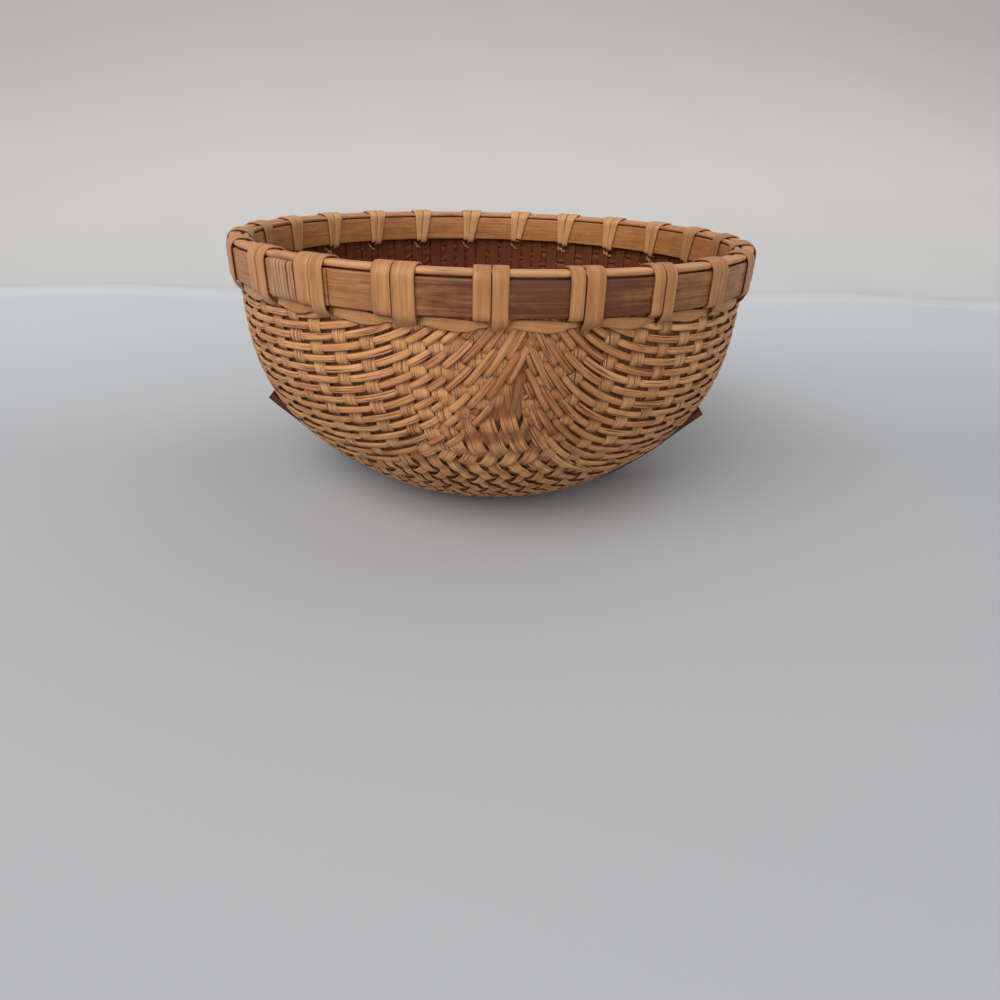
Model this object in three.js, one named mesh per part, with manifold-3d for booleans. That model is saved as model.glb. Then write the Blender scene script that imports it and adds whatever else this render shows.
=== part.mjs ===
// Round bamboo basket: a woven bowl gripped between two bamboo hoops, with a lashed rim
// and two flat slats under the base. Millimetres, +Z up, origin on the floor below the
// centre of the bowl, -Y towards the front, where the weavers gather into a fan.
import * as THREE from 'three';
import { mergeVertices } from 'three/addons/utils/BufferGeometryUtils.js';
import Module from 'manifold-3d';

const wasm = await Module();
wasm.setup();

// Overall sizes
const rimRadius = 110;        // outer face of the outer hoop
const basketHeight = 106;     // floor to the top of the rim splints
const clearance = 0.35;       // between pieces that rest on each other

// Rim hoops and splints
const hoopHeight = 11.5;
const outerHoopThick = 2.2;
const innerHoopThick = 2.0;
const hoopScarf = 24;         // degrees of overlap where a hoop's tapered ends meet
const scarfTip = 0.3;         // thickness left at a tapered end
const hoopSteps = 60;
const splintRise = 2.3;       // height of the half round splint on top of the rim
const outerSplintWidth = 4.8;
const innerSplintWidth = 2.3;
const innerSplintDrop = 0.6;  // the inner splint is this much lower
const splintButtGap = 1.2;
const splintSteps = 48;

// Bowl wall: outer face of the stakes
const wallReach = 149;        // depth below the hoop at which the wall curve would close
const wallSquareness = 3.3;   // larger keeps the wall upright for longer
const wallTuck = 3;           // larger draws the wall in more steeply near the base
const baseRound = 3;          // how far the bend from wall to flat base is eased
const stakeThick = 0.6;
const matThick = 1.25;
const matTopDrop = 1.0;       // the weave stops this far below the hoops' top edges
const matSteps = 44;
const matRings = 10;

// Stakes: flat strips from rim to rim in straight lines seen from above, in two sets that
// cross at right angles under the base
const stakeWidth = 4.4;
const stakePitch = 5.25;      // between neighbouring lines under the base
const farLine = 15;           // lines run from -farLine to farLine on both sides of the middle
const openLine = 12;          // up to this line only every second one is a stake
const stakeTurn = 45;         // degrees from the front to back line to the first set
const weaveLean = 2;          // the weave as a whole is turned this many degrees
const stakeStep = 80;         // length between sections along a straight stake
const stakeBend = 8.5;        // degrees of bend between sections

// Lashing: pairs of straps over the rim, joined by leaf shaped runs below the hoop
const stationCount = 23;
const firstStation = 1.39;    // azimuth in degrees of the pair at the front
const strapWidth = 6.2;
const strapThick = 0.6;
const pairGap = 0.6;
const selfGap = 0.55;         // between a strip and its own other turns where they cross
const stripStations = [8, 8, 7];
const firstOfStrip = 3;       // station at which the first strip starts
const leafHang = 5.4;         // how far a leaf run hangs below the outer hoop
const slotMargin = 0.6;

// Narrow strip wound over the outer hoop's scarf joint
const windingMargin = 1;      // left free beside the straps on both sides
const windingPitch = 2.1;
const windingWidth = 1.5;
const windingStation = -3;    // it lies between this station and the next

// Slats under the base
const slatWidth = 14;
const slatThick = 3;
const slatSpacing = 44;       // between the two slats' centre lines
const slatEndHeights = { left: 37.7, right: 34.5 };
const slatFlareStart = 75;    // beyond this reach the stiff slat stands off the wall
const slatFlare = 0.006;      // stand-off per square millimetre of further reach
const slatRestHalf = 30;      // half the length of the slat that lies flat on the floor
const slatSeat = 0.45;        // gap to the stakes, a little more for their flat facets
const slatEase = 20;          // length over which it leaves the floor and reaches the wall
const slatStep = 4.5;

// Heights and radii that follow from the sizes above
const deg = Math.PI / 180;
const hoopTop = basketHeight - splintRise - clearance;
const hoopBottom = hoopTop - hoopHeight;
const outerHoopInside = rimRadius - outerHoopThick;
const wallRadius = outerHoopInside - clearance;
const matInset = 2 * (stakeThick + clearance);
const innerHoopOutside = wallRadius - matInset - matThick - clearance;
const innerHoopInside = innerHoopOutside - innerHoopThick;
const weaveTop = hoopTop - matTopDrop;
const baseLevel = slatThick + clearance;
const stationPitch = 360 / stationCount;
const pairOffset = (strapWidth + pairGap) / 2;
const strapHalf = strapWidth / 2;
const windingRoom = stationPitch * deg * rimRadius - 2 * (pairOffset + strapHalf + windingMargin);
const windingTurns = Math.floor((windingRoom - windingWidth) / windingPitch);

// Lashing levels around the rim, at mid thickness of the strip
const lapInside = innerHoopInside - clearance - strapThick / 2;
const lapOutside = rimRadius + clearance + strapThick / 2;
const lapUnder = hoopBottom - clearance - strapThick / 2;
const tuckUnder = lapUnder - strapThick - 0.75;
const leafTop = lapUnder - strapThick / 2 - selfGap;
const leafRadius = wallRadius + clearance + strapThick / 2;
const slotBottom = tuckUnder - strapThick / 2 - 0.4;
const stakeShortTop = slotBottom - 0.4;

const bambooTan = new THREE.MeshStandardMaterial({ color: 0xb98a58, roughness: 0.6, metalness: 0 });
const bambooStake = new THREE.MeshStandardMaterial({ color: 0xc49a68, roughness: 0.6, metalness: 0 });
const bambooBrown = new THREE.MeshStandardMaterial({ color: 0x7b553b, roughness: 0.5, metalness: 0 });
const bambooHoney = new THREE.MeshStandardMaterial({ color: 0x94693f, roughness: 0.5, metalness: 0 });
const bambooPale = new THREE.MeshStandardMaterial({ color: 0xd2a673, roughness: 0.45, metalness: 0 });
const bambooRed = new THREE.MeshStandardMaterial({ color: 0x5a3324, roughness: 0.55, metalness: 0 });

const basket = new THREE.Group();

function addPiece(name, geometry, material) {
  const mesh = new THREE.Mesh(geometry, material);
  mesh.name = name;
  basket.add(mesh);
}

// A closed solid from rings of points, each ring joined to the next, with flat ends.
function loftSolid(rings) {
  const sides = rings[0].length;
  const points = rings.flat();
  const index = [];
  for (let i = 0; i < rings.length - 1; i++) {
    for (let j = 0; j < sides; j++) {
      const a = i * sides + j;
      const b = i * sides + (j + 1) % sides;
      index.push(a, b, a + sides, b, b + sides, a + sides);
    }
  }
  const last = (rings.length - 1) * sides;
  for (let j = 1; j < sides - 1; j++) {
    index.push(0, j + 1, j);
    index.push(last, last + j, last + j + 1);
  }
  let volume = 0;
  for (let k = 0; k < index.length; k += 3) {
    const a = points[index[k]];
    const b = points[index[k + 1]];
    const c = points[index[k + 2]];
    volume += a.dot(new THREE.Vector3().crossVectors(b, c));
  }
  if (volume < 0) index.reverse();
  const geometry = new THREE.BufferGeometry().setFromPoints(points);
  geometry.setIndex(index);
  geometry.computeVertexNormals();
  return geometry;
}

// A point at an azimuth from the front, a radius and a height.
function polar(azimuth, radius, height) {
  return new THREE.Vector3(radius * Math.sin(azimuth), -radius * Math.cos(azimuth), height);
}

// Corner rings of a flat strip through sections that give a centre and a half width vector.
function stripRings(sections, thickness) {
  return sections.map((section, i) => {
    const before = sections[Math.max(i - 1, 0)].centre;
    const after = sections[Math.min(i + 1, sections.length - 1)].centre;
    const along = new THREE.Vector3().subVectors(after, before);
    const face = new THREE.Vector3().crossVectors(section.half, along).setLength(thickness / 2);
    const left = section.centre.clone().sub(section.half);
    const right = section.centre.clone().add(section.half);
    return [
      right.clone().add(face),
      left.clone().add(face),
      left.clone().sub(face),
      right.clone().sub(face),
    ];
  });
}

// A wound strip is one unbroken piece: this prints the least gap between its own turns,
// measured on points of both faces, leaving out sections close to each other along it.
function printLeastGap(name, rings) {
  const apart = 6;
  const rows = [];
  for (let i = 0; i < rings.length - 1; i++) {
    for (const along of [0, 0.25, 0.5, 0.75]) {
      const corners = rings[i].map((corner, j) => corner.clone().lerp(rings[i + 1][j], along));
      for (const across of [0, 0.25, 0.5, 0.75, 1]) {
        rows.push({ i, point: corners[0].clone().lerp(corners[1], across) });
        rows.push({ i, point: corners[3].clone().lerp(corners[2], across) });
      }
    }
  }
  let least = Infinity;
  for (const row of rows) {
    for (const other of rows) {
      if (other.i - row.i < apart) continue;
      least = Math.min(least, row.point.distanceToSquared(other.point));
    }
  }
  console.log(`${name}: least gap to itself ${Math.sqrt(least).toFixed(2)} mm`);
}

// Height of the bowl's outer face at a radius: the wall's curve, eased into the flat base.
function lowestHeight(radius) {
  const open = 1 - (radius / wallRadius) ** (1 / wallTuck);
  const wall = hoopBottom - wallReach * open ** (1 / wallSquareness);
  return (wall + baseLevel + Math.hypot(wall - baseLevel, baseRound)) / 2;
}

// Distance from the bowl's centre to its outer face, at an angle below the rim plane.
function wallDistance(angle) {
  let near = 0;
  let far = wallRadius / Math.max(Math.cos(angle), 0.4);
  for (let i = 0; i < 40; i++) {
    const middle = (near + far) / 2;
    const radius = middle * Math.cos(angle);
    const height = weaveTop - middle * Math.sin(angle);
    if (radius < wallRadius && height > lowestHeight(radius)) near = middle;
    else far = middle;
  }
  return near;
}

// Outline of the bowl at an angle below the rim plane, moved inwards by an inset.
function outline(angle, inset) {
  const at = (a) => {
    const distance = wallDistance(a);
    return new THREE.Vector2(distance * Math.cos(a), weaveTop - distance * Math.sin(a));
  };
  const delta = 0.5 * deg;
  const slope = at(Math.min(angle + delta, 90 * deg)).sub(at(Math.max(angle - delta, 0))).normalize();
  const point = at(angle);
  return { radius: point.x + slope.y * inset, height: point.y - slope.x * inset, slope };
}

// Outward direction of the bowl's face at a point near it.
function faceNormal(point) {
  const radius = Math.hypot(point.x, point.y);
  const angle = Math.atan2(weaveTop - point.z, radius);
  const { slope } = outline(Math.min(Math.max(angle, 0), 90 * deg), 0);
  const outward = -slope.y / Math.max(radius, 1e-6);
  return new THREE.Vector3(point.x * outward, point.y * outward, slope.x).normalize();
}

// Cuts through the weave below the hoops, where the lashing passes to the inside.
const slots = [];
for (let k = 0; k < stationCount; k++) {
  slots.push({
    azimuth: (firstStation + k * stationPitch) * deg,
    half: pairOffset + strapHalf + slotMargin,
    bottom: slotBottom,
  });
}
slots.push({
  azimuth: (firstStation + (windingStation + 0.5) * stationPitch) * deg,
  half: (windingTurns * windingPitch + windingWidth) / 2 + clearance,
  bottom: lapUnder - strapThick / 2 - clearance,
});

function meetsSlot(azimuth) {
  return slots.some((slot) => {
    const turn = Math.atan2(Math.sin(azimuth - slot.azimuth), Math.cos(azimuth - slot.azimuth));
    return Math.abs(turn) * wallRadius < slot.half + stakeWidth / 2 + clearance;
  });
}

// Woven mat: the weavers' layer as one thin bowl, open at the top and slotted at the rim.
function wovenMat() {
  const outside = [];
  const inside = [];
  for (let i = 0; i <= matRings; i++) {
    const angle = 90 * deg * (1 - i / matRings) ** 1.15;
    const outer = outline(angle, matInset);
    const inner = outline(angle, matInset + matThick);
    outside.push(new THREE.Vector2(i === 0 ? 0 : outer.radius, outer.height));
    inside.unshift(new THREE.Vector2(i === 0 ? 0 : inner.radius, inner.height));
  }
  const lathe = new THREE.LatheGeometry([...outside, ...inside], matSteps);
  lathe.rotateX(Math.PI / 2);
  let mat = toSolid(lathe);
  for (const slot of slots) {
    const height = hoopBottom + 0.5 - slot.bottom;
    const depth = matThick + 2;
    const box = new THREE.BoxGeometry(slot.half * 2, depth, height);
    box.translate(0, -(wallRadius - matInset - matThick / 2), slot.bottom + height / 2);
    box.rotateZ(slot.azimuth);
    mat = mat.subtract(toSolid(box));
  }
  return fromSolid(mat);
}

function toSolid(geometry) {
  const bare = geometry.clone();
  bare.deleteAttribute('normal');
  bare.deleteAttribute('uv');
  const merged = mergeVertices(bare, 1e-4);
  const kept = [];
  const corners = merged.index.array;
  for (let i = 0; i < corners.length; i += 3) {
    const [a, b, c] = [corners[i], corners[i + 1], corners[i + 2]];
    if (a !== b && b !== c && a !== c) kept.push(a, b, c);
  }
  return new wasm.Manifold(new wasm.Mesh({
    numProp: 3,
    vertProperties: new Float32Array(merged.attributes.position.array),
    triVerts: new Uint32Array(kept),
  }));
}

function fromSolid(solid) {
  const mesh = solid.getMesh();
  const geometry = new THREE.BufferGeometry();
  geometry.setAttribute('position', new THREE.BufferAttribute(mesh.vertProperties, 3));
  geometry.setIndex(new THREE.BufferAttribute(mesh.triVerts, 1));
  geometry.computeVertexNormals();
  return geometry;
}

// Shares along a curve at which it gets a section: closer together where it bends.
function bendShares(curve) {
  const fine = 400;
  const length = curve.getLength();
  const spent = [0];
  for (let i = 1; i <= fine; i++) {
    const bend = curve.getTangentAt((i - 1) / fine).angleTo(curve.getTangentAt(i / fine));
    spent.push(spent[i - 1] + length / fine / stakeStep + bend / deg / stakeBend);
  }
  const steps = Math.ceil(spent[fine]);
  const shares = [0];
  for (let i = 1; i <= fine; i++) {
    if (spent[i] >= shares.length * spent[fine] / steps - 1e-9) shares.push(i / fine);
  }
  return shares;
}

// Carries the start of a stake's route up between the hoops, or ends it below a slot.
function finishStart(route, inset) {
  const azimuth = Math.atan2(route[0].x, -route[0].y);
  if (meetsSlot(azimuth)) {
    while (route[0].z > stakeShortTop) route.shift();
  } else {
    route.unshift(polar(azimuth, wallRadius - inset, weaveTop));
  }
}

// One stake: a flat strip that lies on the bowl from rim to rim along a straight line on
// the plan, at an offset from the middle and a turn from the front to back line.
function stake(offset, turn, inset) {
  const reach = Math.sqrt(wallRadius ** 2 - offset ** 2);
  const fine = 240;
  const route = [];
  for (let i = 0; i <= fine; i++) {
    const along = reach * Math.sin((2 * i / fine - 1) * 90 * deg);
    const radius = Math.min(Math.hypot(along, offset), wallRadius - 1e-9);
    const azimuth = Math.atan2(offset, along) + turn;
    const place = polar(azimuth, radius, lowestHeight(radius));
    route.push(place.addScaledVector(faceNormal(place), -inset));
  }
  finishStart(route, inset);
  route.reverse();
  finishStart(route, inset);
  const curve = new THREE.CatmullRomCurve3(route);
  curve.arcLengthDivisions = fine * 4;
  const sections = bendShares(curve).map((share) => {
    const centre = curve.getPointAt(share);
    const along = curve.getTangentAt(share);
    const half = new THREE.Vector3().crossVectors(along, faceNormal(centre)).setLength(stakeWidth / 2);
    return { centre, half };
  });
  return loftSolid(stripRings(sections, stakeThick));
}

// A hoop bent from one flat strip, its thinned ends overlapping in a scarf joint.
function hoop(insideRadius, thickness, scarfAzimuth) {
  const rings = [];
  const turnTotal = 360 + hoopScarf;
  const joint = thickness - clearance - 2 * scarfTip;
  const ringAt = (turn, from, to) => {
    const azimuth = (scarfAzimuth - hoopScarf / 2 + turn) * deg;
    rings.push([
      polar(azimuth, from, hoopBottom),
      polar(azimuth, to, hoopBottom),
      polar(azimuth, to, hoopTop),
      polar(azimuth, from, hoopTop),
    ]);
  };
  const outside = insideRadius + thickness;
  const scarfSteps = 4;
  for (let i = 0; i <= scarfSteps; i++) {
    const part = i / scarfSteps;
    ringAt(hoopScarf * part, insideRadius, insideRadius + scarfTip + joint * part);
  }
  for (let i = 1; i < hoopSteps; i++) {
    ringAt(hoopScarf + (turnTotal - 2 * hoopScarf) * i / hoopSteps, insideRadius, outside);
  }
  for (let i = 0; i <= scarfSteps; i++) {
    const part = i / scarfSteps;
    ringAt(360 + hoopScarf * part, insideRadius + scarfTip + joint * part + clearance, outside);
  }
  return loftSolid(rings);
}

// A half round splint that lies on the hoops' top edges, its ends butted.
function splint(insideRadius, width, rise, buttAzimuth) {
  const rings = [];
  const gap = splintButtGap / rimRadius / deg;
  const seat = hoopTop + clearance;
  for (let i = 0; i <= splintSteps; i++) {
    const azimuth = (buttAzimuth + gap / 2 + (360 - gap) * i / splintSteps) * deg;
    const ring = [];
    for (let j = 0; j <= 4; j++) {
      const bend = Math.PI * j / 4;
      const across = insideRadius + width / 2 * (1 + Math.cos(bend));
      ring.push(polar(azimuth, across, seat + rise * Math.sin(bend)));
    }
    rings.push(ring);
  }
  return loftSolid(rings);
}

// The way round the rim that every lashing takes, as radius and height, from the inside up,
// over the splints and down the outer hoop.
const overRim = [
  [lapInside, hoopBottom + 0.8],
  [lapInside, hoopTop + 1.0],
  [lapInside + 1.2, basketHeight - 0.05],
  [lapInside + 3.3, basketHeight + 0.45],
  [lapOutside - 3.65, basketHeight + clearance + strapThick / 2],
  [lapOutside - 1.7, basketHeight + 0.1],
  [lapOutside - 0.25, hoopTop + 0.8],
  [lapOutside, hoopTop - 0.5],
  [lapOutside, hoopBottom + 0.8],
];

// A section of a lashing strip at a distance along the rim from a station.
function lapSection(station, along, radius, height, half) {
  const azimuth = (firstStation + station * stationPitch) * deg + along / radius;
  const vector = new THREE.Vector3(half[0], -half[1], half[2]);
  return {
    centre: polar(azimuth, radius, height),
    half: vector.applyAxisAngle(new THREE.Vector3(0, 0, 1), azimuth),
  };
}

// One lashing strip: at each station two turns round the rim, then a leaf shaped run
// under the hoop to the next station, where its tip tucks in behind the second strap.
function lashingRings(first, count) {
  const sections = [];
  for (let n = 0; n < count; n++) {
    const station = first + n;
    const put = (along, radius, height, half) => {
      sections.push(lapSection(station, along, radius, height, half));
    };
    const flat = (width) => [width, 0, 0];
    if (n > 0) {
      put(-1.6, leafRadius - 0.1, tuckUnder - 0.5, [0, 0, 1]);
      put(-0.3, leafRadius - 0.6, tuckUnder - 0.2, [0, 0.6, 0.6]);
      put(0.6, leafRadius - 1.2, tuckUnder, [0.3, 0.95, 0]);
      put(1.1, wallRadius - 1.2, tuckUnder, [1.0, 0.7, 0]);
      put(0.6, wallRadius - matInset - matThick / 2, tuckUnder, flat(1.5));
      put(-1.8, innerHoopOutside - 0.7, tuckUnder + 0.05, flat(2.1));
      put(-3.3, lapInside + 0.55, tuckUnder + 0.45, flat(2.7));
    }
    for (const [radius, height] of overRim) {
      put(-pairOffset, radius, height, flat(strapHalf));
    }
    put(-pairOffset, lapOutside - 0.25, lapUnder + 0.35, flat(strapHalf));
    put(-pairOffset, lapOutside - 1.2, lapUnder, flat(strapHalf));
    put(-pairOffset + 0.7, outerHoopInside + 0.3, lapUnder, flat(strapHalf));
    put(pairOffset - 0.5, innerHoopOutside - 1.0, lapUnder, flat(strapHalf));
    put(pairOffset, lapInside + 0.2, lapUnder + 0.1, flat(strapHalf));
    for (const [radius, height] of overRim) {
      put(pairOffset, radius, height, flat(strapHalf));
    }
    if (n < count - 1) {
      put(pairOffset, lapOutside - 0.2, hoopBottom - 0.5, flat(strapHalf));
      put(pairOffset, lapOutside - 1.2, hoopBottom - 1.9, [strapHalf, 0, 1.2]);
      const runs = [
        [0.27, 1.75, 0.5],
        [0.42, leafHang / 2 - 0.25, 0.1],
        [0.65, leafHang / 2 - 0.6, 0],
        [0.85, 1.3, 0],
      ];
      for (const [share, half, out] of runs) {
        const distance = share * stationPitch * deg * rimRadius;
        put(distance, leafRadius + out, leafTop - half, [0, 0, half]);
      }
    }
  }
  return stripRings(sections, strapThick);
}

// The narrow strip wound over the scarf joint, its ends tucked up inside the rim.
function windingRings() {
  const around = [...overRim, [lapOutside - 0.6, lapUnder + 0.1], [lapInside + 0.6, lapUnder + 0.1]];
  const sections = [];
  const total = windingTurns * around.length;
  const middle = windingStation + 0.5;
  for (let i = 0; i < total; i++) {
    const [radius, height] = around[i % around.length];
    const along = (i / total - 0.5) * windingTurns * windingPitch;
    sections.push(lapSection(middle, along, radius, height, [windingWidth / 2, 0, 0]));
  }
  return stripRings(sections, strapThick);
}

// How far a slat has gone over from the floor to the wall, 0 to 1.
function slatRise(across) {
  return THREE.MathUtils.smoothstep(Math.abs(across), slatRestHalf, slatRestHalf + slatEase);
}

// One arm of a slat: flat on the floor from the middle, then up along the wall to its end.
function slatArm(sideways, endHeight) {
  const points = [];
  const reachEnd = wallRadius * 1.2;
  for (let across = 0; across < reachEnd; across += 1) {
    const at = baseAt(across, sideways);
    if (at.z > endHeight) break;
    const standOff = slatFlare * Math.max(across - slatFlareStart, 0) ** 2;
    const lift = slatSeat + slatThick / 2 + standOff;
    const onWall = at.clone().add(faceNormal(at).multiplyScalar(lift));
    const onFloor = new THREE.Vector3(across, sideways, slatThick / 2);
    points.push(onFloor.lerp(onWall, slatRise(across)));
  }
  return points;
}

// A flat slat under the base, bent up against the wall at both ends.
function slat(sideways) {
  const right = slatArm(sideways, slatEndHeights.right);
  const left = slatArm(sideways, slatEndHeights.left);
  const mirrored = left.slice(1).map((p) => new THREE.Vector3(-p.x, p.y, p.z)).reverse();
  const curve = new THREE.CatmullRomCurve3([...mirrored, ...right]);
  curve.arcLengthDivisions = 400;
  const length = curve.getLength();
  const leftLength = new THREE.CatmullRomCurve3(left).getLength();
  const restStart = (leftLength - slatRestHalf) / length;
  const restEnd = (leftLength + slatRestHalf) / length;
  const leftSteps = Math.ceil(restStart * length / slatStep);
  const rightSteps = Math.ceil((1 - restEnd) * length / slatStep);
  const shares = [];
  for (let i = 0; i <= leftSteps; i++) shares.push(restStart * i / leftSteps);
  for (let i = 0; i <= rightSteps; i++) shares.push(restEnd + (1 - restEnd) * i / rightSteps);
  const sections = shares.map((share) => {
    const centre = curve.getPointAt(share);
    const along = curve.getTangentAt(share);
    const down = new THREE.Vector3(0, 0, -1);
    const out = down.lerp(faceNormal(centre), slatRise(centre.x)).normalize();
    if (Math.abs(centre.x) <= slatRestHalf + 0.5) {
      along.set(1, 0, 0);
      centre.set(Math.sign(centre.x) * slatRestHalf, sideways, slatThick / 2);
    }
    return { centre, half: new THREE.Vector3().crossVectors(along, out).setLength(slatWidth / 2) };
  });
  return loftSolid(stripRings(sections, slatThick));
}

// The point of the bowl's outer face above or outside a place on the floor plan.
function baseAt(across, sideways) {
  const radius = Math.hypot(across, sideways);
  let near = 0;
  let far = 90 * deg;
  for (let i = 0; i < 40; i++) {
    const middle = (near + far) / 2;
    if (outline(middle, 0).radius > radius) near = middle;
    else far = middle;
  }
  const { height } = outline(near, 0);
  return new THREE.Vector3(across, sideways, height);
}

addPiece('woven_mat', wovenMat(), bambooTan);
const sets = [
  { name: 'rising_right', turn: -stakeTurn, inset: stakeThick / 2 },
  { name: 'rising_left', turn: stakeTurn, inset: stakeThick * 1.5 + clearance },
];
for (const { name, turn, inset } of sets) {
  let number = 0;
  for (let line = -farLine; line <= farLine; line++) {
    if (Math.abs(line) <= openLine && line % 2 !== 0) continue;
    number += 1;
    const label = `${name}_${String(number).padStart(2, '0')}`;
    addPiece(label, stake(line * stakePitch, (turn + weaveLean) * deg, inset), bambooStake);
  }
}
const windingAzimuth = firstStation + (windingStation + 0.5) * stationPitch;
addPiece('outer_hoop', hoop(outerHoopInside, outerHoopThick, windingAzimuth), bambooBrown);
addPiece('inner_hoop', hoop(innerHoopInside, innerHoopThick, windingAzimuth + 180), bambooHoney);
const outerSplintInside = rimRadius - outerSplintWidth - 0.6;
addPiece('outer_splint', splint(outerSplintInside, outerSplintWidth, splintRise, 95), bambooPale);
const innerSplintRise = splintRise - innerSplintDrop;
addPiece('inner_splint', splint(innerHoopInside, innerSplintWidth, innerSplintRise, -130), bambooPale);
let stripStart = firstOfStrip;
stripStations.forEach((count, i) => {
  const rings = lashingRings(stripStart, count);
  addPiece(`lashing_${i + 1}`, loftSolid(rings), bambooPale);
  printLeastGap(`lashing_${i + 1}`, rings);
  stripStart += count;
});
const woundStrip = windingRings();
addPiece('joint_winding', loftSolid(woundStrip), bambooTan);
printLeastGap('joint_winding', woundStrip);
addPiece('front_slat', slat(-slatSpacing / 2), bambooRed);
addPiece('back_slat', slat(slatSpacing / 2), bambooRed);

export default basket;
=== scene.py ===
import math

import bpy
import numpy as np
from mathutils import Matrix, Vector


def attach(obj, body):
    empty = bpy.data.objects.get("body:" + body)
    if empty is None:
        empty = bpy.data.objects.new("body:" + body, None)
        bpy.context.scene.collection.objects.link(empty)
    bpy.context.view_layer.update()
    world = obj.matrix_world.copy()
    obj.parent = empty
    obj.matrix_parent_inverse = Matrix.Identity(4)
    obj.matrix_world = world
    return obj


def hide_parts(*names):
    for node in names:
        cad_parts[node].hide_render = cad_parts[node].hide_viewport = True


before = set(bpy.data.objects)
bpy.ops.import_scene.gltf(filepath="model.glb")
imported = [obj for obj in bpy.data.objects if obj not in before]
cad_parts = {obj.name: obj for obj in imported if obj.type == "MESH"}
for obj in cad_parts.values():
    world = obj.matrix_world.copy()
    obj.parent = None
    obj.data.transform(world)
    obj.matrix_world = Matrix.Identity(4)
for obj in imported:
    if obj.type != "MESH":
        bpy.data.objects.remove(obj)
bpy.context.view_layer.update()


# Sizes in millimetres, as in the CAD part, and angles in degrees from the front. A depth runs down
# the wall from the lower edge of the hoops. Side -1 is the left one
millimetre = 0.001  # in metres
gap = 0.35  # between pieces that rest on each other
rim = {"radius": 110.0, "top": 106.0, "hoopTop": 103.35, "hoopBottom": 91.85, "outerThick": 2.2,
       "innerOutside": 103.95, "innerThick": 2.0, "scarf": 24.0, "scarfTip": 0.3}
bowl = {"wallRadius": 107.45, "reach": 149.0, "squareness": 3.3, "tuck": 3.0, "base": 3.35, "round": 3.0}
rng = np.random.default_rng(11)
step = 1.3  # length between sections of a strip
fineStep = 0.25  # between samples of the bowl's outline and of a strip's height


# Height of the outer face of the bowl at a distance from its axis
def outerHeight(radius):
    share = np.clip(radius, 0, bowl["wallRadius"] - 1e-9) / bowl["wallRadius"]
    wall = rim["hoopBottom"] - bowl["reach"] * (1 - share ** (1 / bowl["tuck"])) ** (1 / bowl["squareness"])
    return (wall + bowl["base"] + np.hypot(wall - bowl["base"], bowl["round"])) / 2


# The bowl's outline at even steps of depth, with its outward direction
def makeProfile():
    radius = bowl["wallRadius"] * np.sin(np.linspace(1, 0, 6000) * np.pi / 2) ** 0.5
    points = np.concatenate([[[bowl["wallRadius"], rim["hoopTop"] + 1], [bowl["wallRadius"], rim["hoopBottom"]]],
                             np.stack([radius, outerHeight(radius)], 1)[1:]])
    steps = np.hypot(*np.diff(points, axis=0).T)
    length = np.concatenate([[0], np.cumsum(steps)]) - steps[0]
    even = np.arange(length[0], length[-1], fineStep)
    radius, height = np.interp(even, length, points[:, 0]), np.interp(even, length, points[:, 1])
    slope = np.stack([np.gradient(radius), np.gradient(height)], 1)
    slope /= np.linalg.norm(slope, axis=1)[:, None]
    return {"depth": even, "radius": radius, "height": height, "out": -slope[:, 1], "up": slope[:, 0]}


profile = makeProfile()


# Point and outward direction at an azimuth and a depth
def onBowl(azimuth, depth):
    radius, height, out, up = (np.interp(depth, profile["depth"], profile[key])
                               for key in ("radius", "height", "out", "up"))
    sin, cos = np.sin(azimuth), np.cos(azimuth)
    normal = np.stack([out * sin, -out * cos, up], -1)
    normal /= np.linalg.norm(normal, axis=-1, keepdims=True)
    return np.stack([radius * sin, -radius * cos, height], -1), normal


# The same azimuth and depth laid out flat, the middle of the base at the origin
def laidFlat(azimuth, depth):
    reach = profile["depth"][-1] - depth
    return np.stack([reach * np.sin(azimuth), -reach * np.cos(azimuth)], -1)


def arcLength(points):
    return np.concatenate([[0], np.cumsum(np.linalg.norm(np.diff(points, axis=0), axis=1))])


# A route over the bowl with its points at even distances
def evenRoute(azimuth, depth, spacing):
    length = arcLength(onBowl(azimuth, depth)[0])
    count = max(int(length[-1] / spacing), 8)
    at = np.linspace(0, length[-1], count + 1)
    return {"azimuth": np.interp(at, length, azimuth), "depth": np.interp(at, length, depth), "at": at}


# Where two routes cross, as distances along each
def crossings(one, two):
    a, b = laidFlat(one["azimuth"], one["depth"])[::3], laidFlat(two["azimuth"], two["depth"])[::3]
    atA, atB = one["at"][::3], two["at"][::3]
    r, s = np.diff(a, axis=0), np.diff(b, axis=0)
    low = np.maximum(np.minimum(a[:-1], a[1:])[:, None], np.minimum(b[:-1], b[1:])[None])
    high = np.minimum(np.maximum(a[:-1], a[1:])[:, None], np.maximum(b[:-1], b[1:])[None])
    near = np.argwhere((low <= high).all(-1))
    found = []
    for i, j in near:
        cross = r[i, 0] * s[j, 1] - r[i, 1] * s[j, 0]
        if abs(cross) < 1e-9:
            continue
        between = b[j] - a[i]
        t = (between[0] * s[j, 1] - between[1] * s[j, 0]) / cross
        u = (between[0] * r[i, 1] - between[1] * r[i, 0]) / cross
        if 0 <= t < 1 and 0 <= u < 1:
            found.append((atA[i] + t * (atA[i + 1] - atA[i]), atB[j] + u * (atB[j + 1] - atB[j])))
    return found


# shade, here and for liners and weavers, is how much painted shade a strip takes at the fans; a filler's dip is the
# depth at which it would get full painted shade
main = {"width": 5.9, "baseWidth": 3.7, "thick": 0.62, "pitch": 5.25, "last": 16, "open": 10, "turn": 45.0,
        "lean": 0.8, "narrowFrom": 50.0, "narrowOver": 20.0, "shade": 0.45, "startDepth": -10.0}
filler = {"width": 6.0, "baseWidth": 4.1, "thick": 0.5, "recess": -1.05, "risesFrom": 60.0, "risesOver": 14.0,
          "dip": 1.6, "shade": 1.4}
liner = {"width": 5.0, "until": 52.0, "shade": 0.5}


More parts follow.
